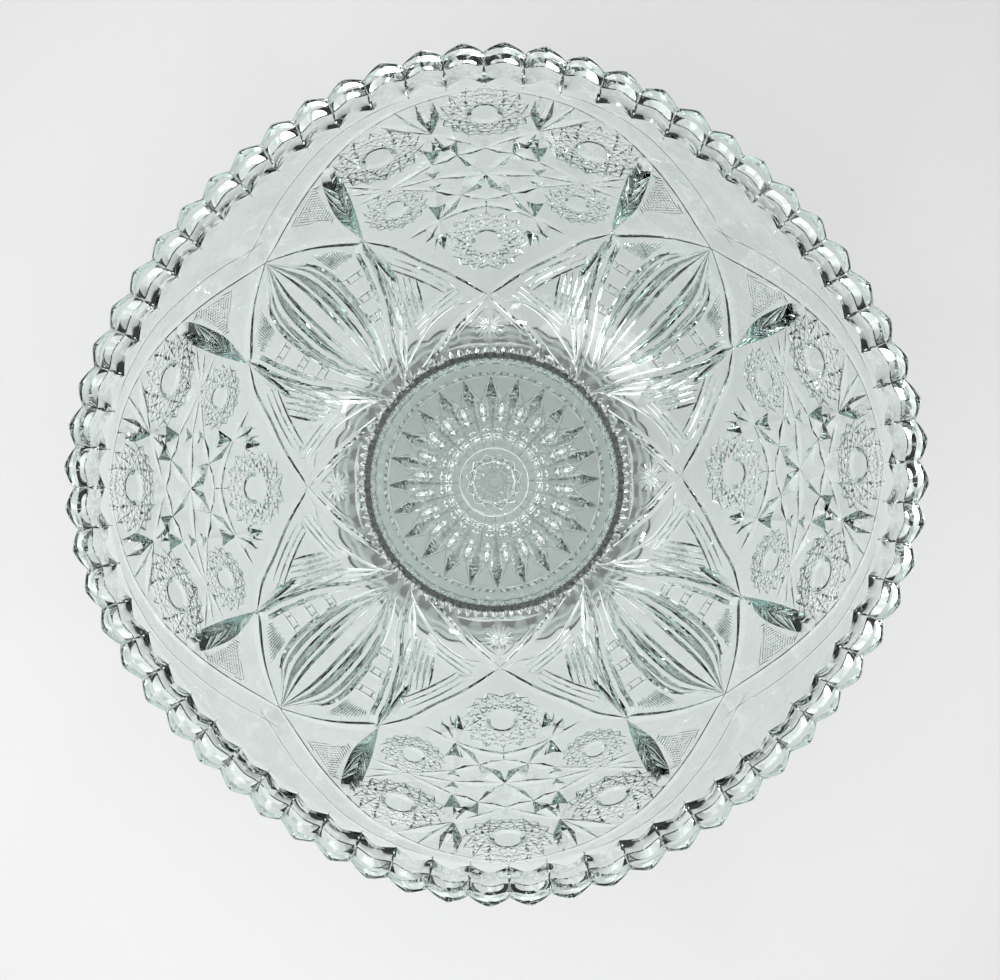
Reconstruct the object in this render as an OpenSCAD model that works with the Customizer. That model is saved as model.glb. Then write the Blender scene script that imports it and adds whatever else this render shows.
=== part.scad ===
// Glass punch bowl on a separate hollow pedestal stand.
// The bowl's foot ring rests on the seat inside the stand's collar, and the bowl lifts straight off.
// Millimetres. +Z is up, and the origin is the middle of the stand's foot, on the table.

/* [Bowl] */
// Radius of the rim across the tips of its tallest teeth
rim_r = 170; // [160:1:180]
// Height of the bowl, from its foot ring to its tallest teeth
bowl_h = 172; // [165:1:180]
// Radius of the belly, where the wall stands almost upright
belly_r = 157; // [150:1:158]
// Thickness of the wall at the belly
bowl_wall = 7.5; // [6.5:0.5:9]
// Height of the bowl's inner floor above its foot ring
floor_z = 14; // [12:1:18]
// Radius of the flat part of the inner floor
floor_r = 50; // [40:1:55]

/* [Bowl foot] */
// Radius of the foot ring
foot_r = 61; // [60:1:63]
// Height of the foot ring's upright side
foot_h = 7; // [7:0.5:9]
// Width of the ring that the bowl rests on
foot_ring_w = 5; // [4:0.5:8]
// Depth of the star-cut base above the foot ring
foot_recess = 1.5; // [1:0.5:3]

/* [Rim teeth] */
// Number of teeth round the rim
rim_teeth = 64; // [48:16:80]
// Height of a tooth above the valleys beside it
tooth_h = 3.5; // [3:0.5:6]
// Drop of the rim from the four high lobes to the low places between them
lobe_drop = 11; // [0:1:14]
// Slope of the teeth, down from the inner edge of the rim to the outer one, in degrees
tooth_slope = 22; // [10:1:35]

/* [Stand] */
// Height of the seat that carries the bowl
seat_z = 98; // [85:1:115]
// Depth of the collar around the bowl's foot ring
collar_depth = 6; // [4:0.5:6.5]
// Outer radius of the collar, and of the bell just below it
collar_r = 66.5; // [66:0.5:72]
// Outer radius of the skirt at the table
skirt_r = 100; // [92:1:105]
// Thickness of the stand's wall, measured level
stand_wall = 5; // [4.5:0.5:6]
// Number of scallops round the skirt
skirt_teeth = 40; // [32:4:48]
// Depth of a scallop's valley
scallop_depth = 3; // [2:0.5:4]

/* [Fit] */
// Gap between the foot ring and the collar, all round
collar_gap = 1; // [0.5:0.25:2]

/* [Hidden] */
$fn = 160;

glass = [0.74, 0.82, 0.80, 0.55];
glass_deep = [0.62, 0.73, 0.70, 0.75];

neck_r = foot_r + 1.5;     // radius where the wall leaves the foot ring
flare_power = 8;           // how suddenly the wall flares below the rim
profile_steps = 22;        // straight runs along each side of the bowl's section
stand_steps = 12;          // straight runs along each side of the stand's section
skirt_power = 1.7;         // how suddenly the bell spreads towards the table
skirt_edge = 5;            // upright edge at the foot of the skirt
collar_draft = 0.5;        // widening of the collar towards its top
seat_lap = 1;              // how far the seat reaches in past the foot ring
cut_over = 1;              // how far a cutting shape runs past the face it cuts
cut_height = 40;           // height of a rim cut above the valleys, more than the rim's drop
collar_top = seat_z + collar_depth;
cut_length = 60;           // length of a rim cut, right across the rim
tooth_pitch = 2 * (rim_r + 3) * sin(180 / rim_teeth);  // wide enough for neighbouring cuts to meet

// Heights along a section, from 0 to 1, closest together where the wall turns fastest
function step(i) = pow(i / profile_steps, 1.5);

// The wall's radius at height fraction u: a quarter ellipse from r0 to r1, and the rim's flare
function wall_r(u, r0, r1) =
    r0 + (r1 - r0) * sqrt(1 - pow(1 - u, 2)) + (rim_r - belly_r) * pow(u, flare_power);

outer_side = [for (i = [0 : profile_steps])
    [wall_r(step(i), neck_r, belly_r), foot_h + step(i) * (bowl_h - foot_h)]];
inner_side = [for (i = [profile_steps : -1 : 0])
    [wall_r(step(i), floor_r, belly_r - bowl_wall), floor_z + step(i) * (bowl_h - floor_z)]];
foot_section = [
    [0, floor_z],
    [0, foot_recess],
    [foot_r - foot_ring_w - foot_recess, foot_recess],
    [foot_r - foot_ring_w, 0],
    [foot_r, 0]];

// Height of the rim's crest at an angle: high at 0, 90, 180 and 270 degrees
function crest_z(angle) = bowl_h - lobe_drop * (1 - cos(4 * angle)) / 2;

// The stand's outer radius at height z
function stand_r(z) =
    collar_r + (skirt_r - collar_r) * pow(1 - z / seat_z, skirt_power);

stand_outside = [for (i = [0 : stand_steps])
    let (z = skirt_edge + (seat_z - skirt_edge) * i / stand_steps)
    [stand_r(z - skirt_edge * (1 - i / stand_steps)), z]];
stand_inside = [for (i = [stand_steps : -1 : 0])
    let (z = (seat_z - stand_wall) * i / stand_steps)
    [stand_r(z) - stand_wall, z]];

// What a tooth's cut takes away, seen along the radius: all that lies above a rounded crest
module above_tooth() {
    half = tooth_pitch / 2;
    steps = 3;
    polygon(concat(
        [for (i = [-steps : steps]) [half * i / steps, -tooth_h * pow(i / steps, 2)]],
        [[half, cut_height], [-half, cut_height]]));
}

// One cut for each tooth, running outwards and downwards across the rim
module rim_cuts() {
    for (i = [0 : rim_teeth - 1]) {
        angle = 360 * (i + 0.5) / rim_teeth;
        rotate([0, 0, angle])
            translate([rim_r, 0, crest_z(angle)])
                rotate([0, tooth_slope, 0])
                    translate([-cut_length / 2, 0, 0])
                        rotate([90, 0, 90])
                            linear_extrude(height = cut_length) above_tooth();
    }
}

// Rounded open bowl with a foot ring and a toothed, four-lobed rim
module bowl() {
    color(glass)
        translate([0, 0, seat_z])
            difference() {
                rotate_extrude() polygon(concat(foot_section, outer_side, inner_side));
                rim_cuts();
            }
}

// V cuts that leave the skirt's edge scalloped
module skirt_cuts() {
    half_w = skirt_r * sin(180 / skirt_teeth);
    for (i = [0 : skirt_teeth - 1])
        rotate([0, 0, 360 * (i + 0.5) / skirt_teeth])
            translate([0, 0, -cut_over])
                linear_extrude(height = seat_z)
                    polygon([
                        [skirt_r - scallop_depth, 0],
                        [skirt_r + cut_over, half_w],
                        [skirt_r + 4 * cut_over, 0],
                        [skirt_r + cut_over, -half_w]]);
}

// Hollow flared pedestal, open below, with a seat and a collar for the bowl's foot ring
module stand() {
    collar_in = foot_r + collar_gap;
    seat_in = foot_r - foot_ring_w - seat_lap;
    color(glass_deep)
        difference() {
            rotate_extrude()
                polygon(concat(
                    [[skirt_r, 0]],
                    stand_outside,
                    [[collar_r, collar_top],
                     [collar_in + collar_draft, collar_top],
                     [collar_in, seat_z],
                     [seat_in, seat_z],
                     [seat_in, seat_z - stand_wall]],
                    stand_inside));
            skirt_cuts();
        }
}

stand();
bowl();
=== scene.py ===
import math

import bmesh
import bpy
import numpy as np
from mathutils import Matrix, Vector
from mathutils.geometry import delaunay_2d_cdt


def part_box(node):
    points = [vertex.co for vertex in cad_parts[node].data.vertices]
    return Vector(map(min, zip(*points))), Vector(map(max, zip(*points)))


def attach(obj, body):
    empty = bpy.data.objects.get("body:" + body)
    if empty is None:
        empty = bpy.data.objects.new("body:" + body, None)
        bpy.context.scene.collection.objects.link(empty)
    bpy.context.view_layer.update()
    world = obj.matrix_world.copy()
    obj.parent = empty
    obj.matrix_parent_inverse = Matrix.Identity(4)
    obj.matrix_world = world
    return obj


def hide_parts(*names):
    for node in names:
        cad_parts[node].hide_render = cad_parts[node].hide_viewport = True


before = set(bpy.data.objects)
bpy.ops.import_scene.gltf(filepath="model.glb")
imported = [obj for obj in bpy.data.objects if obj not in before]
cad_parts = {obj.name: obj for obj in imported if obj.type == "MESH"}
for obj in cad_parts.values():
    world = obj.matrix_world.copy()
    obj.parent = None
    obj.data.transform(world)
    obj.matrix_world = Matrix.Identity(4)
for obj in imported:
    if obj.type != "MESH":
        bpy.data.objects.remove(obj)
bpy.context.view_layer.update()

# The glass is in millimetres and degrees, and the stage (floor, lights and camera) is in metres.
# The glass is made as one eighth of a turn, from a high lobe of the rim (angle 0) to the low place
# beside it (angle 45), and then mirrored and repeated. A place on a side of the glass is
# (angle, way), where way is the distance up that side.
MM = 0.001
EIGHTH = 45.0
FLAT_SCALE = 2.2         # millimetres that stand for a degree while a side is laid out flat
WELD = 3e-6              # metres within which two points of the glass are one
SLIVER = 2e-6            # metres below which an edge is dropped
SHARP = 13.0             # two faces that meet at more than this angle have a crisp edge

bowl_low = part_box("bowl")[0]
stand_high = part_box("stand")[1]
seat_z = bowl_low[2] / MM
collar_top = stand_high[2] / MM
skirt_r = stand_high[0] / MM

# The bowl, as in the CAD model
rim_r = 170.0
bowl_h = 172.0
belly_r = 157.0
bowl_wall = 7.5
floor_z = 14.0
floor_r = 50.0
foot_r = 61.0
foot_h = 7.0
foot_ring_w = 5.0
foot_recess = 1.5
neck_r = foot_r + 1.5
flare_power = 8
rim_teeth = 64
lobe_drop = 11.0

# Finish of the bowl: notches under its foot ring, a toothed and bevelled crest, and outside that a
# scalloped band with a rib under each tooth
foot_notch = 7.5         # degrees from one notch to the next
tooth_h = 1.6
bevel_h = 4.2
land_w = 3.6             # top of the crest
land_fall = 0.5          # how far the crest's inner edge is rounded off
band_reach = 20.6        # from the rim down to the ledge under the band
ledge_run = 0.5          # how far up the ledge slopes
rib_low = (4.0, 0.3)     # how far a rib, and the valley beside it, stand out at the ledge
rib_high = (3.9, 1.4)    # and at the rim
tooth_steps = 16         # points across one tooth

# The stand, as in the CAD model
skirt_power = 1.7
collar_r = 66.5
stand_wall = 5.0
skirt_teeth = 40
skirt_edge = 5.0
collar_gap = 1.0
seat_lap = 1.0

# Finish of the stand
wall_thinning = 0.25     # share of the wall's thickness that is gone at the seat
seat_gap = 0.12          # air between the seat and the foot ring


# ---------------------------------------------------------------- sections and cuts

class Section:
    """One side of a turned glass wall: radius, height and outward normal by the way up it."""

    def __init__(self, radius, height, outward=1.0):
        self.r = np.asarray(radius, float)
        self.z = np.asarray(height, float)
        self.way = np.concatenate([[0], np.cumsum(np.hypot(np.diff(self.r), np.diff(self.z)))])
        dr = np.gradient(self.r, self.way)
        dz = np.gradient(self.z, self.way)
        size = np.hypot(dr, dz)
        self.nr = outward * dz / size
        self.nz = -outward * dr / size
        self.length = self.way[-1]

    def radius(self, way):
        return np.interp(way, self.way, self.r)

    def way_at(self, height):
        return np.interp(height, self.z, self.way)

    def scale(self, way):
        """Millimetres in one degree round the glass."""
        return self.radius(way) * math.pi / 180

    def place(self, angle, way, depth):
        """Points in space, sunk below the surface by depth."""
        r = self.radius(way) - depth * np.interp(way, self.way, self.nr)
        z = np.interp(way, self.way, self.z) - depth * np.interp(way, self.way, self.nz)
        turn = np.radians(angle)
        return np.stack([r * np.cos(turn), r * np.sin(turn), z], axis=1)


class Disc:
    """A level face seen from below, where angle and way are plain x and y."""

    def __init__(self, height):
        self.height = height

    def scale(self, way):
        """One, because x is in millimetres already."""
        return np.ones_like(np.asarray(way, float))

    def place(self, x, y, depth):
        return np.stack([x, y, self.height + depth + 0 * x], axis=1)


def smooth_path(points, per_span):
    """Catmull-Rom curve through rows of numbers."""
    p = np.asarray(points, float)
    ends = np.vstack([2 * p[0] - p[1], p, 2 * p[-1] - p[-2]])
    out = []
    for i in range(len(p) - 1):
        a, b, c, d = ends[i:i + 4]
        for t in np.arange(per_span) / per_span:
            out.append(0.5 * (2 * b + (c - a) * t + (2 * a - 5 * b + 4 * c - d) * t * t
                              + (3 * b - a - 3 * c + d) * t ** 3))
    out.append(p[-1])
    return np.array(out)


class Cuts:
    """Wheel cuts in a side of the glass. Each is a path with a half width, V-shaped or hollow."""

    def __init__(self, side, mirrors=(0.0, EIGHTH)):
        self.side = side
        self.mirrors = mirrors
        self.cuts = []

    def add(self, path, width, steep, hollow=False):
        path = np.asarray(path, float)
        width = np.asarray(width, float)
        self.cuts.append((path, width, steep, hollow))
        reach = width.max() / self.side.scale(path[:, 1]).min() + 0.01
        for line in self.mirrors:
            if path[:, 0].min() - reach < line < path[:, 0].max() + reach:
                flipped = path.copy()
                flipped[:, 0] = 2 * line - flipped[:, 0]
                self.cuts.append((flipped, width, steep, hollow))

    def line(self, start, end, widths, steep, steps=4):
        """A straight V cut, with half widths at even places from its start to its end."""
        t = np.linspace(0, 1, steps + 1)
        path = np.outer(1 - t, start) + np.outer(t, end)
        self.add(path, np.interp(t, np.linspace(0, 1, len(widths)), widths), steep)

    def curve(self, rows, steep, per_span=4, hollow=False):
        """A curved cut through rows of (angle, way, half width)."""
        path = smooth_path(rows, per_span)
        self.add(path[:, :2], np.maximum(path[:, 2], 0.08), steep, hollow)

    def hobstar(self, centre, radius):
        """Chords from point to point of a circle, which leave a round button standing."""
        points = 16
        across = self.side.scale(centre[1])
        for span, broad in ((6, 1.9), (4, 1.2)):
            for i in range(points):
                ends = []
                for corner in (i, i + span):
                    turn = 2 * math.pi * corner / points
                    ends.append((centre[0] + radius * math.cos(turn) / across,
                                 centre[1] + radius * math.sin(turn)))
                width = broad * (radius / 18)
                self.line(ends[0], ends[1], [0.3, width, width, width, 0.3], 0.75, steps=6)

    def rays(self, centre, inner, outer, count, width, steep):
        """A small star of lens-shaped cuts round a centre."""
        across = self.side.scale(centre[1])
        for i in range(count):
            turn = math.radians(360.0 * i / count)
            dx, dy = math.cos(turn) / across, math.sin(turn)
            self.line((centre[0] + inner * dx, centre[1] + inner * dy),
                      (centre[0] + outer * dx, centre[1] + outer * dy),
                      [0.1, width, 0.1], steep, steps=4)

    def hatch(self, corners, start, step, width, steep):
        """Parallel cuts through start, repeated by step each way, inside a convex outline."""
        corners = np.asarray(corners, float)
        run = np.array([-step[1], step[0]]) * 200
        for i in range(-40, 41):
            middle = np.asarray(start, float) + i * np.asarray(step, float)
            clipped = clip_line(middle - run, middle + run, corners)
            if clipped is not None:
                self.line(clipped[0], clipped[1], [0.1, width, width, width, 0.1], steep, steps=8)

    def depth(self, angle, way):
        """How deep the cuts go at each point."""
        deep = np.zeros(len(angle))
        across = self.side.scale(way)
        for path, width, steep, hollow in self.cuts:
            reach = width.max() + 0.05
            side_reach = reach / across
            near = np.flatnonzero(
                (angle > path[:, 0].min() - side_reach) & (angle < path[:, 0].max() + side_reach)
                & (way > path[:, 1].min() - reach) & (way < path[:, 1].max() + reach))
            if len(near) == 0:
                continue
            m = across[near]
            for k in range(len(path) - 1):
                px = (angle[near] - path[k, 0]) * m
                py = way[near] - path[k, 1]
                ex = (path[k + 1, 0] - path[k, 0]) * m
                ey = path[k + 1, 1] - path[k, 1]
                t = np.clip((px * ex + py * ey) / np.maximum(ex * ex + ey * ey, 1e-9), 0, 1)
                off = np.hypot(px - t * ex, py - t * ey)
                half = width[k] + t * (width[k + 1] - width[k])
                if hollow:
                    cut = steep * half * (1 - (off / half) ** 2)
                else:
                    cut = steep * (half - off)
                deep[near] = np.maximum(deep[near], cut)
        return deep

    def guide_lines(self):
        """The lines that the mesh follows: the edges, bottom and ends of every cut."""
        for path, width, _, hollow in self.cuts:
            across = self.side.scale(path[:, 1])
            run = np.gradient(path, axis=0)
            run[:, 0] *= across
            run /= np.maximum(np.linalg.norm(run, axis=1), 1e-9)[:, None]
            sides = (-1, -0.62, -0.3, 0, 0.3, 0.62, 1) if hollow else (-1, 0, 1)
            rows = []
            for side in sides:
                row = path.copy()
                row[:, 0] += -run[:, 1] * width * side / across
                row[:, 1] += run[:, 0] * width * side
                rows.append(row)
                yield row
            for end in (0, -1):
                yield np.array([row[end] for row in rows])


def clip_line(start, end, corners):
    """The part of a line inside a convex outline, or None."""
    low, high = 0.0, 1.0
    run = end - start
    centre = corners.mean(axis=0)
    for i in range(len(corners)):
        a, b = corners[i], corners[(i + 1) % len(corners)]
        inward = np.array([a[1] - b[1], b[0] - a[0]])
        if inward @ (centre - a) < 0:
            inward = -inward
        here, rate = inward @ (start - a), inward @ run
        if abs(rate) < 1e-12:
            if here < 0:
                return None
        elif rate > 0:
            low = max(low, -here / rate)
        else:
            high = min(high, -here / rate)
    if high - low < 1e-4:
        return None
    return start + low * run, start + high * run


# ---------------------------------------------------------------- patches of surface

class Patch:
    """Points in space and the triangles between them."""

    def __init__(self, points, faces):
        self.points = np.asarray(points, float)
        self.faces = [tuple(face) for face in faces]


def triangulate(lines, spots, flat_x):
    """Constrained Delaunay triangles of guide lines and loose points, laid out flat."""
    coords, edges = [], []
    for line in lines:
        first = len(coords)
        coords.extend((float(x) * flat_x, float(y)) for x, y in line)
        edges.extend((i, i + 1) for i in range(first, len(coords) - 1))
    coords.extend((float(x) * flat_x, float(y)) for x, y in spots)
    out = delaunay_2d_cdt([Vector(c) for c in coords], edges, [], 0, 1e-4)
    points = np.array([(v.x / flat_x, v.y) for v in out[0]])
    faces = np.array([face for face in out[2] if len(face) == 3])
    return points, faces


def facing(points, faces, clockwise):
    """The triangles, all wound the same way round on the flat layout."""
    corner = points[faces]
    spin = np.cross(corner[:, 1] - corner[:, 0], corner[:, 2] - corner[:, 0])
    wrong = (spin < 0) != clockwise
    faces[wrong] = faces[wrong][:, ::-1]
    return faces


def wall_patch(side, lines, spots, bottom, top, depth, inward, push=None):
    """One eighth of a wall between bottom and top, two lines of (angle, way).

    Also gives the points along the top, first as (angle, way) and then in space.
    """
    edges = [bottom, top, np.array([bottom[0], top[0]]), np.array([bottom[-1], top[-1]])]
    points, faces = triangulate(edges + list(lines), spots, FLAT_SCALE)
    mid = points[faces].mean(axis=1)
    inside = ((mid[:, 0] > 0) & (mid[:, 0] < EIGHTH)
              & (mid[:, 1] > np.interp(mid[:, 0], bottom[:, 0], bottom[:, 1]))
              & (mid[:, 1] < np.interp(mid[:, 0], top[:, 0], top[:, 1])))
    faces = faces[inside]
    used, faces = np.unique(faces, return_inverse=True)
    faces = faces.reshape(-1, 3)
    points = points[used]
    points[:, 0] = np.clip(points[:, 0], 0, EIGHTH)
    faces = facing(points, faces, inward)
    deep = depth(points[:, 0], points[:, 1])
    at_top = np.abs(points[:, 1] - np.interp(points[:, 0], top[:, 0], top[:, 1])) < 2e-3
    rim = points[at_top]
    order = np.argsort(rim[:, 0])
    space = side.place(points[:, 0], points[:, 1], deep)
    if push:
        radius = np.hypot(space[:, 0], space[:, 1])
        space[:, :2] *= (1 + push(points[:, 0], points[:, 1]) / radius)[:, None]
    return Patch(space, faces), rim[order], space[at_top][order]


def strip_patch(rows, flip=False):
    """A band of surface through rows of points that all have the same count."""
    count = len(rows[0])
    faces = []
    for r in range(len(rows) - 1):
        for i in range(count - 1):
            a, b = r * count + i, r * count + i + 1
            c, d = a + count, b + count
            faces += [(a, c, b), (b, c, d)] if flip else [(a, b, c), (b, d, c)]
    return Patch(np.vstack(rows), faces)


def ring_row(angles, radius, height):
    """Points in space round an eighth of a ring."""
    turn = np.radians(angles)
    return np.stack([radius * np.cos(turn), radius * np.sin(turn), height + 0 * turn], axis=1)


def whole_glass(name, patches, lift):
    """Mirrors and repeats the eighth, welds it into one closed mesh and makes the object."""
    points, faces, first = [], [], 0
    for patch in patches:
        points.append(patch.points)
        faces += [tuple(first + i for i in face) for face in patch.faces]
        first += len(patch.points)
    eighth = np.vstack(points)
    faces = np.array(faces)
    all_points, all_faces = [], []
    for turn in range(4):
        spin = math.radians(90 * turn)
        c, s = math.cos(spin), math.sin(spin)
        for mirrored in (False, True):
            p = eighth.copy()
            if mirrored:
                p[:, 1] = -p[:, 1]
            x, y = p[:, 0].copy(), p[:, 1].copy()
            p[:, 0], p[:, 1] = c * x - s * y, s * x + c * y
            order = faces[:, ::-1] if mirrored else faces
            all_faces.append(order + len(all_points) * len(eighth))
            all_points.append(p)
    points = np.vstack(all_points)
    points[:, 2] += lift
    points *= MM
    faces = np.vstack(all_faces)
    mesh = bpy.data.meshes.new(name)
    mesh.vertices.add(len(points))
    mesh.vertices.foreach_set("co", points.astype(np.float32).ravel())
    mesh.loops.add(faces.size)
    mesh.loops.foreach_set("vertex_index", faces.astype(np.int32).ravel())
    mesh.polygons.add(len(faces))
    mesh.polygons.foreach_set("loop_start", np.arange(0, faces.size, 3, dtype=np.int32))
    mesh.update(calc_edges=True)
    weld = bmesh.new()
    weld.from_mesh(mesh)
    bmesh.ops.remove_doubles(weld, verts=weld.verts, dist=WELD)
    bmesh.ops.dissolve_degenerate(weld, edges=weld.edges, dist=SLIVER)
    weld.to_mesh(mesh)
    weld.free()
    mesh.shade_smooth()
    mesh.set_sharp_from_angle(angle=math.radians(SHARP))
    obj = bpy.data.objects.new(name, mesh)
    bpy.context.scene.collection.objects.link(obj)
    return obj


# ---------------------------------------------------------------- the bowl

def wall_radius(u, low_r, high_r):
    """The wall's radius at height fraction u, as in the CAD model."""
    flare = (rim_r - belly_r) * u ** flare_power
    return low_r + (high_r - low_r) * np.sqrt(1 - (1 - u) ** 2) + flare


up_wall = np.linspace(0, 1, 1500) ** 1.4
outside = Section(wall_radius(up_wall, neck_r, belly_r), foot_h + up_wall * (bowl_h - foot_h))
inside_wall = Section(wall_radius(up_wall, floor_r, belly_r - bowl_wall),
                      floor_z + up_wall * (bowl_h - floor_z), outward=-1.0)

tooth_pitch = 360.0 / rim_teeth


def tooth_phase(angle):
    """0 on the crest of a tooth and 1 in the valleys, one of which is at angle 0."""
    return np.abs(2 * ((angle / tooth_pitch) % 1.0) - 1)


def tooth_fall(angle):
    """0 on the crest and 1 in a valley: round teeth on the high lobes, sharper ones between."""
    return tooth_phase(angle) ** (1.2 + 0.3 * np.cos(np.radians(2 * angle)) ** 2)


def lobe(angle):
    """How far the rim has dropped below its high lobes."""
    return lobe_drop * (1 - np.cos(np.radians(4 * angle))) / 2


def outer_edge_height(angle):
    """Height of the rim's outer edge, where the bevel starts."""
    return bowl_h - lobe(angle) - tooth_h * tooth_fall(angle) - bevel_h


def ledge_way(angle):
    """The way up the outside where the rim's band starts."""
    return outside.way_at(bowl_h - lobe(angle)) - band_reach


def band_push(angle, way):
    """How far the band stands out from the smooth wall, measured level."""
    low, fall = ledge_way(angle), tooth_fall(angle)
    top = outside.way_at(outer_edge_height(angle))
    up = np.clip((way - low) / (top - low), 0, 1)
    at_ledge = rib_low[0] + (rib_low[1] - rib_low[0]) * fall
    at_rim = rib_high[0] + (rib_high[1] - rib_high[0]) * fall
    return np.clip((way - low) / ledge_run, 0, 1) * (at_ledge + up * (at_rim - at_ledge))


def rim_cuts(cuts):
    """A sharp cut in each valley of the band, from its ledge to 3 mm below the rim's edge."""
    for i in range(int(EIGHTH / tooth_pitch) + 1):
        valley = i * tooth_pitch
        low = float(ledge_way(valley))
        edge = float(outside.way_at(outer_edge_height(valley)))
        cuts.line((valley, low - 0.3), (valley, edge - 3.0), [0.2, 0.8, 0.1], 0.9, steps=6)


def from_low(beta, way, *more):
    """A place given by its angle from the low place of the rim."""
    return (EIGHTH - beta, way) + more


def ribbon_cuts(cuts):
    """The plain ribbons that cross between the panels and the petals, drawn by their edges."""
    cuts.curve([(0, 188.7, 0.7), (8, 184.9, 0.8), (12.8, 182.1, 1.0), (17.2, 177.9, 1.4),
                (22.2, 171.7, 1.7), (27.5, 161.5, 1.8), (32.9, 150, 1.8), (37.6, 140, 1.8),
                (41.7, 132.2, 1.5), (45, 127.5, 0.9)], 0.9)
    cuts.curve([from_low(0, 127.5, 0.9), from_low(3.4, 120.6, 1.6), from_low(8, 111.6, 2.2),
                from_low(13, 101.2, 2.9), from_low(16.4, 94.2, 2.9),
                from_low(17.9, 91.0, 0.8)], 0.85)
    cuts.curve([(4, 190.2, 0.1), (12, 188.3, 0.6), (20, 183.6, 0.7), (26, 177.5, 0.7),
                (30, 171, 0.7), (35, 162.4, 0.7), (39.4, 154.2, 0.7), (45, 144, 0.6),
                (49.5, 142.8, 0.1)], 0.8)
    cuts.curve([(26.8, 90.2, 0.3), (24.8, 86, 1.6), (21.4, 78, 2.0), (16.4, 63, 2.1),
                (8.8, 48.6, 1.9), (3.0, 38.6, 1.3), (0.5, 35.2, 0.3)], 0.9)
    cuts.curve([(0.3, 33.4, 0.4), (5.9, 26.2, 1.9), (14.7, 16.8, 2.1), (20, 11.8, 1.8),
                (27, 6.8, 1.3), (36, 3.2, 0.9), (44, 1.5, 0.3)], 0.9)
    cuts.curve([(0.6, 35.8, 0.2), (5.9, 31.6, 0.8), (10.9, 31.0, 0.9), (19.4, 25.4, 0.9),
                (27, 17.9, 0.8), (36, 10.2, 0.6), (42, 4.5, 0.2)], 0.9)
    # Broad, very shallow creases where the ribbons meet on the mirror lines
    cuts.line((45, 176), (45, 129), [5, 9, 9, 3], 0.05)
    cuts.line((0, 60), (0, 37), [1, 8, 2], 0.06)
    cuts.line((0, 156), (0, 141), [8, 7, 2], 0.05)


def panel_cuts(cuts):
    """Six hobstars round crossing mitre cuts, centred on each high lobe."""
    cuts.hobstar((0, 170.8), 20.0)
    cuts.hobstar((18.4, 150.8), 21.5)
    cuts.hobstar((18.4, 104.2), 16.0)
    cuts.hobstar((0, 68.5), 20.5)
    top, low, side, middle = (8.9, 157.5), (10.3, 86.5), (18.4, 120), (0, 117.6)
    column = [(8.3, 185.5, 4.2), top + (4.4,), (9.5, 130.5, 3.8), (9.8, 118.6, 3.4),
              (10.0, 108.8, 4.4), low + (3.6,), (10.6, 66.5, 0)]
    for lower, upper in zip(column[1:], column[:-1]):
        cuts.line(upper[:2], lower[:2], [0.6, upper[2], 0.6], 0.6)
    for ends, width in (
            ((top, (4.9, 135.8)), 3.0), (((4.9, 135.8), middle), 1.7),
            ((middle, (4.9, 102.5)), 2.8), (((4.9, 102.5), low), 1.9),
            ((top, (0, 140.4)), 0.9), (((0, 140.4), (5, 136)), 1.4),
            (((5, 136), (9.5, 130.5)), 1.5), (((9.5, 130.5), side), 1.1),
            ((side, (9.8, 118.6)), 0.9), (((9.8, 118.6), middle), 1.5),
            ((side, (10.0, 108.8)), 1.0), (((10.0, 108.8), (4.9, 102.5)), 1.4),
            (((4.9, 102.5), (0, 97.8)), 1.2),
            ((top, (10.4, 181.5)), 1.6), ((top, (13.8, 180.6)), 1.3), ((top, (17.2, 175.5)), 1.9),
            ((low, (17.2, 79.3)), 1.1), ((low, (14.1, 73.4)), 2.1), ((low, (12.3, 70.0)), 1.2),
            ((side, (25.0, 136)), 1.0), ((side, (24.6, 127.4)), 1.0), ((side, (24.4, 118.6)), 1.1)):
        cuts.line(ends[0], ends[1], [0.5, 1.9 * width, 0.5], 0.6)
    cuts.curve([(10.3, 85.5, 0.5), (5, 90.9, 2.2), (0, 93.6, 2.0)], 0.62)


def spear_cuts(cuts):
    """The deep upright spear beside the panel, and the fine diamonds between it and the ribbon."""
    cuts.curve([(26.9, 160, 0.8), (27.1, 153, 4.0), (27.4, 138, 4.9), (27.6, 118, 4.7),
                (27.3, 102, 2.3), (27.0, 92.6, 0.2)], 0.6)
    field = [from_low(7.4, 134.2), from_low(14.8, 152.5), from_low(14.8, 117.5)]
    cuts.hatch(field, from_low(14.2, 130), (0.8, -0.3), 0.85, 0.6)
    cuts.hatch(field, from_low(14.2, 130), (0.8, 0.3), 0.85, 0.6)


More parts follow.
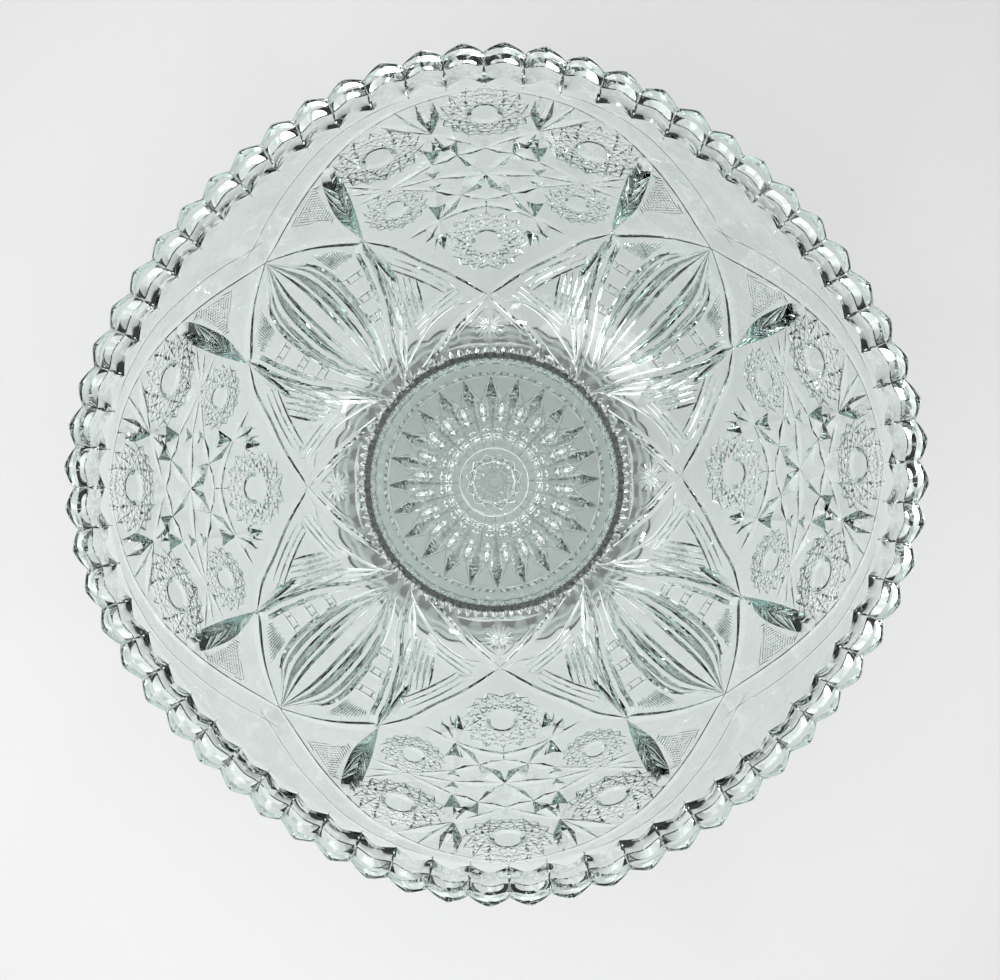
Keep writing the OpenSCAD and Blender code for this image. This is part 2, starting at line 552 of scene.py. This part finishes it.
def petal_cuts(cuts):
    """The petal on each low place: nested leaves, a ladder beside them and an outer flute."""
    leaf = [(125, 0.02), (118, 0.14), (106.7, 0.42), (96.7, 0.67), (86, 0.84), (72, 0.95),
            (54, 1.0), (41, 0.93), (31, 0.79), (22, 0.45), (12, 0.02)]
    leaf_fill = 0.97     # leaves a thin ridge between one flute and the next
    for ridge_in, ridge_out in ((1.6, 4.4), (4.4, 7.9)):
        rows = []
        for way, full in leaf:
            half = full * (ridge_out - ridge_in) / 2 * outside.scale(way) * leaf_fill
            rows.append(from_low(full * (ridge_in + ridge_out) / 2, way, max(half, 0.1)))
        cuts.curve(rows, 0.75, 3, hollow=True)
    cuts.curve([from_low(3.6, 110, 0.2), from_low(6.2, 98, 0.9), from_low(8.0, 84, 1.4),
                from_low(8.7, 66, 1.6), from_low(8.6, 48, 1.6), from_low(7.4, 34, 1.3),
                from_low(5.3, 23, 0.9), from_low(3.0, 15, 0.2)], 1.1)
    cuts.line(from_low(2.4, 114), from_low(6.4, 97.5), [0.3, 1.5, 0.3], 0.8)
    for i in range(12):
        cuts.line(from_low(9.3 + 0.43 * i, 85.5), from_low(7.5 + 0.62 * i, 104.5 - 1.35 * i),
                  [0.2, 0.45, 0.45, 0.15], 0.8)
    for way, left, right in ((75, 9.9, 13.9), (60, 9.9, 13.2), (46.5, 9.5, 12.0)):
        cuts.line(from_low(left, way), from_low(right, way), [0.8, 1.1, 0.8], 0.9)
        cuts.line(from_low(left, way - 4.4), from_low(right, way - 4.4), [0.5, 0.8, 0.5], 0.9)
        for side in (left + 0.5, right - 0.5):
            cuts.line(from_low(side, way), from_low(side, way - 4.4), [0.5, 0.5, 0.5], 0.9)
    cuts.curve([from_low(17.6, 91, 0.5), from_low(16.5, 86, 3.2), from_low(16.5, 75, 3.7),
                from_low(16.0, 62, 3.6), from_low(15.2, 50, 3.4), from_low(13.8, 41, 3.1),
                from_low(12.0, 33, 2.8), from_low(10.1, 25, 2.4), from_low(8.2, 17, 1.9),
                from_low(6.0, 9, 1.2), from_low(4.4, 5, 0.2)], 0.78, 3, hollow=True)
    cuts.curve([from_low(18.3, 66, 0.2), from_low(18.6, 50, 1.2), from_low(18.1, 41, 1.6),
                from_low(17.0, 33, 2.0), from_low(14.6, 25, 2.2), from_low(11.4, 17, 1.8),
                from_low(8.0, 9.5, 0.3)], 1.0, 3)


def field_cuts(cuts):
    """The three-cornered fields of parallel bars between the petal and the ribbons."""
    bars = []
    for shift in (5.0, 8.4, 11.4):
        bars.append(((8.6 + 0.36 * shift, 47 - 0.7 * shift),
                     (20.6 + 0.36 * shift, 73.5 - 0.7 * shift)))
    for rise in (0, 3.0, 5.8):
        bars.append(((8.4 + 0.2 * rise, 34.4 + rise), (25.0, 22.4 + rise)))
    for start, end in bars:
        cuts.line(start, end, [0.6, 1.4, 1.4, 0.6], 0.9, steps=6)
    for i in range(6):
        cuts.line((19.6 + 1.45 * i, 52 + 2.2 * i), (20.8 + 1.85 * i, 33.5 - 1.3 * i),
                  [0.3, 1.1, 1.1, 0.4], 0.9, steps=6)
    cuts.curve([(26.7, 87, 0.3), (25.6, 74, 2.2), (24.8, 60, 1.5), (24.6, 56, 0.3)], 0.7)


def diamond_cuts(cuts):
    """The diamond under each panel: a small star, and facets where the wall meets the foot."""
    cuts.rays((0, 17.6), 0.8, 7.6, 16, 0.75, 0.8)
    cuts.line((0.4, 28), (11.5, 15.2), [0.3, 1.0, 0.4], 0.8)
    cuts.line((0, 7.2), (17, 8.4), [1.0, 1.2, 0.3], 0.8)
    for i in range(12):
        angle = EIGHTH * (i + 0.5) / 12
        cuts.line((angle, 0.3), (angle, 7.2), [1.6, 2.1, 0.2], 0.75)


def bowl_outside():
    """The cut outside, with its top and lowest rows of points."""
    cuts = Cuts(outside)
    rim_cuts(cuts)
    ribbon_cuts(cuts)
    panel_cuts(cuts)
    spear_cuts(cuts)
    petal_cuts(cuts)
    field_cuts(cuts)
    diamond_cuts(cuts)
    angles = np.linspace(0, EIGHTH, int(EIGHTH / tooth_pitch * tooth_steps) + 1)
    top = np.stack([angles, outside.way_at(outer_edge_height(angles))], axis=1)
    foot_angles = np.linspace(0, EIGHTH, 49)
    bottom = np.stack([foot_angles, 0 * foot_angles], axis=1)
    lines = list(cuts.guide_lines())
    for run in (0, ledge_run):
        lines.append(np.stack([angles, ledge_way(angles) + run], axis=1))
    for ridge in np.arange(tooth_pitch / 2, EIGHTH, tooth_pitch / 2):
        edge_way = outside.way_at(outer_edge_height(ridge))
        ways = np.linspace(ledge_way(ridge) + ledge_run, edge_way, 5)
        lines.append(np.stack([np.full(len(ways), ridge), ways], axis=1))
    # Loose points keep the triangles small where nothing is cut
    spots = [(a, w) for a in np.arange(0, EIGHTH + 0.1, EIGHTH / 32)
             for w in np.arange(3.0, outside.length - band_reach - lobe(a), 4.5)]
    for part in (0.2, 0.45, 0.72):
        rows = ledge_way(angles) * (1 - part) + top[:, 1] * part
        spots += list(zip(angles[::2], rows[::2]))
    shell, rim, rim_row = wall_patch(outside, lines, spots, bottom, top, cuts.depth,
                                     inward=False, push=band_push)
    neck_row = outside.place(foot_angles, 0 * foot_angles, cuts.depth(foot_angles, 0 * foot_angles))
    return shell, rim, rim_row, neck_row


def bowl_inside(angles, edge_heights):
    """The smooth inner wall, up to the crest's inner edge, and the level floor."""
    top = np.stack([angles, inside_wall.way_at(edge_heights)], axis=1)
    low_angles = np.linspace(0, EIGHTH, 17)
    bottom = np.stack([low_angles, 0 * low_angles], axis=1)
    spots = [(a, w) for a in low_angles for w in np.arange(5.0, inside_wall.length - 30, 6.0)]
    for under in (1.5, 4.0, 8.0, 13.0, 19.0):
        for a in np.linspace(0, EIGHTH, 33):
            spots.append((a, inside_wall.way_at(bowl_h - lobe(a) - 5.5) - under))
    patch, rim, _ = wall_patch(inside_wall, [], spots, bottom, top,
                               lambda angle, way: 0 * angle, inward=True)
    assert len(rim) == len(angles)
    floor = strip_patch([ring_row(low_angles, r, floor_z) for r in (floor_r, 36.0, 22.0, 9.0, 0.0)])
    return [patch, floor]


def rim_crest(angles, outer_row):
    """The crest: a rounded bevel up from the outer edge, then a land that waves with the teeth."""
    wave = (1 - np.cos(np.pi * tooth_phase(angles))) / 2
    crest = bowl_h - lobe(angles) - tooth_h * wave
    inner_z = crest - land_fall
    inner_r = inside_wall.radius(inside_wall.way_at(inner_z))
    outer_r = np.hypot(outer_row[:, 0], outer_row[:, 1])
    land_r = inner_r + land_w
    rows = [outer_row]
    for part, rise in ((0.1, 0.2), (0.85, 0.9), (1.0, 1.0)):
        rows.append(ring_row(angles, outer_r + (land_r - outer_r) * part,
                             outer_row[:, 2] + (crest - outer_row[:, 2]) * rise))
    for part, fall in ((0.7, 0.0), (0.9, 0.3), (1.0, 1.0)):
        rows.append(ring_row(angles, land_r - land_w * part, crest - land_fall * fall))
    return strip_patch(rows), inner_z


def foot_and_base(neck_row):
    """The foot ring, from the wall's lowest row inwards, and the star-cut base inside it."""
    angles = np.linspace(0, EIGHTH, len(neck_row))
    edge_r = foot_r - foot_ring_w - foot_recess
    # Radius and height round the foot ring, and how far its notches reach in and up at each place
    ring = [(foot_r + 0.4, foot_h - 0.3, 0.2, 0),
            (foot_r, foot_h - 0.9, 0.5, 0), (foot_r, 1.0, 1.2, 0), (foot_r - 0.3, 0.3, 1.2, 0.7),
            (foot_r - 1.0, 0, 1.0, 0.9), (foot_r - foot_ring_w + 0.8, 0, 0, 0.9),
            (foot_r - foot_ring_w, 0.2, 0, 0.9), (edge_r, foot_recess, 0, 0)]
    notch = np.abs(2 * ((angles / foot_notch) % 1.0) - 1)
    foot = strip_patch([neck_row] + [ring_row(angles, r - cut_in * notch, z + cut_up * notch)
                                     for r, z, cut_in, cut_up in ring], flip=True)
    base = Disc(foot_recess)
    cuts = Cuts(base, mirrors=())
    star_r = edge_r - 0.7

    def polar(radius, angle):
        return radius * math.cos(math.radians(angle)), radius * math.sin(math.radians(angle))

    for i in range(24):
        angle = 15.0 * i
        for start, end, width, steep in (
                (polar(17.5, angle), polar(star_r, angle), [0.3, 1.3, 2.2, 3.1, 2.6, 0.15], 0.86),
                (polar(26, angle + 7.5), polar(42, angle + 7.5), [0.2, 1.5, 0.2], 1.0),
                (polar(star_r, angle), polar(star_r, angle + 15), [0.2, 0.7, 0.2], 0.8),
                (polar(star_r, angle), polar(star_r, angle + 135),
                 [0.15, 0.55, 0.55, 0.55, 0.15], 0.8),
                (polar(42, angle + 7.5), polar(42, angle + 97.5), [0.2, 1.0, 0.9, 1.0, 0.2], 0.8),
                (polar(31, angle), polar(31, angle + 90), [0.2, 0.8, 0.8, 0.8, 0.2], 1.0),
                (polar(17, angle), polar(17, angle + 15), [0.6, 0.6, 0.6], 0.9)):
            if max(start[0], end[0]) > -1 and max(start[1], end[1]) > -1:
                cuts.line(start, end, width, steep, steps=8)
    for i in range(12):
        cuts.line(polar(12.5, 30 * i), polar(12.5, 30 * i + 150),
                  [0.2, 1.2, 1.1, 1.2, 0.2], 0.8, steps=6)
        cuts.line(polar(14.5, 30 * i + 15), polar(14.5, 30 * i + 105),
                  [0.2, 1.0, 0.2], 1.05, steps=6)
    arc = np.array([polar(edge_r, a) for a in angles])
    sides = [np.array([(0, 0), arc[end]]) for end in (0, -1)]
    lines = list(cuts.guide_lines()) + [arc] + sides
    spots = [polar(r, a) for r in (5, 10, 15, 20, 25, 30, 36, 42, 48) for a in (5, 15, 25, 35)]
    points, faces = triangulate(lines, spots, 1.0)
    mid = points[faces].mean(axis=1)
    turn = np.degrees(np.arctan2(mid[:, 1], mid[:, 0]))
    faces = faces[(turn > 0) & (turn < EIGHTH) & (np.hypot(mid[:, 0], mid[:, 1]) < edge_r)]
    used, faces = np.unique(faces, return_inverse=True)
    faces = faces.reshape(-1, 3)
    points = points[used]
    faces = facing(points, faces, True)
    deep = cuts.depth(points[:, 0], points[:, 1])
    return [foot, Patch(base.place(points[:, 0], points[:, 1], deep), faces)]


def make_bowl():
    shell, rim, rim_row, neck_row = bowl_outside()
    crest, inner_z = rim_crest(rim[:, 0], rim_row)
    patches = [shell, crest] + bowl_inside(rim[:, 0], inner_z) + foot_and_base(neck_row)
    return whole_glass("glass_bowl", patches, seat_z)


# ---------------------------------------------------------------- the stand

def stand_radius(z):
    """The bell's outer radius at height z, as in the CAD model."""
    return collar_r + (skirt_r - collar_r) * (1 - z / seat_z) ** skirt_power


def make_stand():
    """A fluted bell with an upright collar, as the bowl's foot ring sits in it."""
    part = np.linspace(0, 1, 400)
    height = skirt_edge + (seat_z - skirt_edge) * part
    side = Section(
        np.concatenate([np.full(6, skirt_r), stand_radius(height - skirt_edge * (1 - part))[1:],
                        np.full(6, collar_r)]),
        np.concatenate([np.linspace(0, skirt_edge, 6), height[1:],
                        np.linspace(seat_z + 1, collar_top, 6)]))
    flute = 360 / skirt_teeth
    angles = np.linspace(0, EIGHTH, 41)
    bottom = np.stack([angles, 0 * angles], axis=1)
    top = np.stack([angles, 0 * angles + side.length], axis=1)
    neck = side.way_at(seat_z - 5)

    def depth(angle, way):
        """How deep the flutes are: deepest at the table, where they make the scallops."""
        from_valley = np.abs(2 * ((angle / flute) % 1.0) - 1)
        deep = np.interp(way, [0, 6, 30, neck - 6, neck - 1, side.length],
                         [3, 2.4, 1.3, 1.3, 1.2, 1.2])
        return deep * (1 - np.sin(from_valley * math.pi / 2))

    ways = np.concatenate([np.arange(2.0, neck - 8, 3.0),
                           np.linspace(neck - 7, side.length - 1, 9)])
    spots = [(a, w) for a in np.linspace(0, EIGHTH, 41) for w in ways]
    lines = [np.array([(a, 0), (a, side.length)]) for a in np.arange(flute / 2, EIGHTH, flute)]
    lines += [np.stack([angles, 0 * angles + way], axis=1) for way in (neck - 6, neck - 1)]
    shell, rim, rim_row = wall_patch(side, lines, spots, bottom, top, depth, inward=False)
    collar_in = foot_r + collar_gap
    seat_in = foot_r - foot_ring_w - seat_lap
    seat = seat_z - seat_gap
    inside = [(collar_in + 0.9, collar_top), (collar_in + 0.5, collar_top - 0.4),
              (collar_in, seat), (seat_in, seat), (seat_in, seat_z - stand_wall)]
    for z in np.linspace(seat_z - stand_wall, 0, 24):
        inside.append((stand_radius(z) - stand_wall * (1 - wall_thinning * z / seat_z), z))
    rows = [rim_row] + [ring_row(angles, r, z) for r, z in inside]
    rows.append(side.place(angles, 0 * angles, depth(angles, 0 * angles)))
    return whole_glass("glass_stand", [shell, strip_patch(rows)], 0.0)


bowl = make_bowl()
stand = make_stand()
for piece, name in ((bowl, "bowl"), (stand, "stand")):
    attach(piece, name)
    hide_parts(name)


# ---------------------------------------------------------------- glass

def map_range(nodes, from_min, from_max, to_min, to_max):
    """A node that turns one range of values into another."""
    node = nodes.new("ShaderNodeMapRange")
    for socket, value in (("From Min", from_min), ("From Max", from_max),
                          ("To Min", to_min), ("To Max", to_max)):
        node.inputs[socket].default_value = value
    return node


def pressed_glass(name):
    """Clear glass with a faint grey-green body, slightly wavy and dulled in places."""
    mat = bpy.data.materials.new(name)
    mat.use_nodes = True
    nodes, links = mat.node_tree.nodes, mat.node_tree.links
    nodes.clear()
    out = nodes.new("ShaderNodeOutputMaterial")
    shader = nodes.new("ShaderNodeBsdfPrincipled")
    shader.inputs["Base Color"].default_value = (0.954, 1.0, 0.987, 1)
    shader.inputs["Transmission Weight"].default_value = 1.0
    shader.inputs["IOR"].default_value = 1.5
    links.new(shader.outputs["BSDF"], out.inputs["Surface"])

    coords = nodes.new("ShaderNodeTexCoord")
    haze = nodes.new("ShaderNodeTexNoise")
    haze.inputs["Scale"].default_value = 14.0
    haze.inputs["Detail"].default_value = 3.0
    dull = map_range(nodes, 0.45, 0.75, 0.0, 0.05)
    links.new(coords.outputs["Object"], haze.inputs["Vector"])
    links.new(haze.outputs["Fac"], dull.inputs["Value"])
    links.new(dull.outputs["Result"], shader.inputs["Roughness"])
    ripple = nodes.new("ShaderNodeTexNoise")
    ripple.inputs["Scale"].default_value = 45.0
    ripple.inputs["Detail"].default_value = 2.0
    bump = nodes.new("ShaderNodeBump")
    bump.inputs["Strength"].default_value = 0.12
    bump.inputs["Distance"].default_value = 0.0008
    links.new(coords.outputs["Object"], ripple.inputs["Vector"])
    links.new(ripple.outputs["Fac"], bump.inputs["Height"])
    links.new(bump.outputs["Normal"], shader.inputs["Normal"])

    body = nodes.new("ShaderNodeVolumeAbsorption")
    body.inputs["Color"].default_value = (0.44, 0.675, 0.625, 1)
    body.inputs["Density"].default_value = 7.0
    links.new(body.outputs["Volume"], out.inputs["Volume"])
    return mat


glass = pressed_glass("pressed_glass")
for piece in (bowl, stand):
    piece.data.materials.append(glass)


# ---------------------------------------------------------------- stage

def make_floor():
    """A pale, plain floor whose colour grows darker away from the bowl: painted light round the
    bowl and painted shade further out.
    """
    mesh = bpy.data.meshes.new("floor")
    reach = 12.0
    corners = [(-reach, -reach, 0), (reach, -reach, 0), (reach, reach, 0), (-reach, reach, 0)]
    mesh.from_pydata(corners, [], [(0, 1, 2, 3)])
    floor = bpy.data.objects.new("floor", mesh)
    bpy.context.scene.collection.objects.link(floor)
    mat = bpy.data.materials.new("floor")
    mat.use_nodes = True
    nodes, links = mat.node_tree.nodes, mat.node_tree.links
    shader = nodes["Principled BSDF"]
    coords = nodes.new("ShaderNodeTexCoord")
    away = nodes.new("ShaderNodeVectorMath")
    away.operation = "LENGTH"
    # Painted light and shade: the floor colour falls from 0.75 near the bowl to 0.36 further out,
    # standing in for light that fades away from the bowl.
    shade = map_range(nodes, 0.28, 0.85, 0.75, 0.36)
    shade.interpolation_type = "SMOOTHSTEP"
    links.new(coords.outputs["Object"], away.inputs[0])
    links.new(away.outputs["Value"], shade.inputs["Value"])
    links.new(shade.outputs["Result"], shader.inputs["Base Color"])
    shader.inputs["Roughness"].default_value = 0.8
    mesh.materials.append(mat)


def soft_light(name, place, size, power):
    """A square light aimed at the bowl."""
    light = bpy.data.lights.new(name, "AREA")
    light.shape = "SQUARE"
    light.size = size
    light.energy = power
    obj = bpy.data.objects.new(name, light)
    bpy.context.scene.collection.objects.link(obj)
    obj.location = place
    obj.rotation_euler = (Vector((0, 0, 0.1)) - Vector(place)).to_track_quat("-Z", "Y").to_euler()


def make_light():
    """A pale, uneven room that darkens to the horizon, with a broad window and four small lamps."""
    world = bpy.data.worlds.new("studio")
    bpy.context.scene.world = world
    world.use_nodes = True
    nodes, links = world.node_tree.nodes, world.node_tree.links
    coords = nodes.new("ShaderNodeTexCoord")
    split = nodes.new("ShaderNodeSeparateXYZ")
    ramp = nodes.new("ShaderNodeValToRGB")
    patches = nodes.new("ShaderNodeTexNoise")
    patches.inputs["Scale"].default_value = 2.4
    patches.inputs["Detail"].default_value = 1.0
    shade = map_range(nodes, 0.4, 0.6, 0.72, 1.10)
    links.new(coords.outputs["Generated"], split.inputs["Vector"])
    links.new(coords.outputs["Generated"], patches.inputs["Vector"])
    links.new(patches.outputs["Fac"], shade.inputs["Value"])
    links.new(split.outputs["Z"], ramp.inputs["Fac"])
    stops = ramp.color_ramp.elements
    stops[0].position, stops[0].color = 0.0, (0.38, 0.385, 0.385, 1)
    stops[1].position, stops[1].color = 0.75, (1.1, 1.1, 1.1, 1)
    for place, grey in ((0.1, 0.52), (0.25, 0.72), (0.5, 0.98)):
        stop = stops.new(place)
        stop.color = (grey, grey, grey, 1)
    back = nodes["Background"]
    links.new(ramp.outputs["Color"], back.inputs["Color"])
    links.new(shade.outputs["Result"], back.inputs["Strength"])
    soft_light("window", (-0.75, -0.85, 0.95), 0.8, 5.6)
    for name, place in (("lamp_left", (-0.9, 0.4, 1.2)), ("lamp_right", (1.0, -0.5, 1.1)),
                        ("lamp_back", (0.3, 1.0, 1.3)), ("lamp_front", (-0.2, -1.0, 1.2))):
        soft_light(name, place, 0.07, 0.7)
    bpy.context.scene.view_settings.view_transform = "Standard"


def make_camera():
    """Straight above the bowl and a little off its axis, as a bowl is seen from over a table."""
    data = bpy.data.cameras.new("camera")
    data.lens = 54
    data.sensor_width = 36
    data.shift_x = 0.0153
    data.shift_y = 0.020
    camera = bpy.data.objects.new("camera", data)
    bpy.context.scene.collection.objects.link(camera)
    above_rim = 590.0
    camera.location = (-0.0052, -0.0139, (seat_z + bowl_h + above_rim) * MM)
    camera.rotation_euler = (0, 0, math.radians(-1.8))
    bpy.context.scene.camera = camera


make_floor()
make_light()
make_camera()
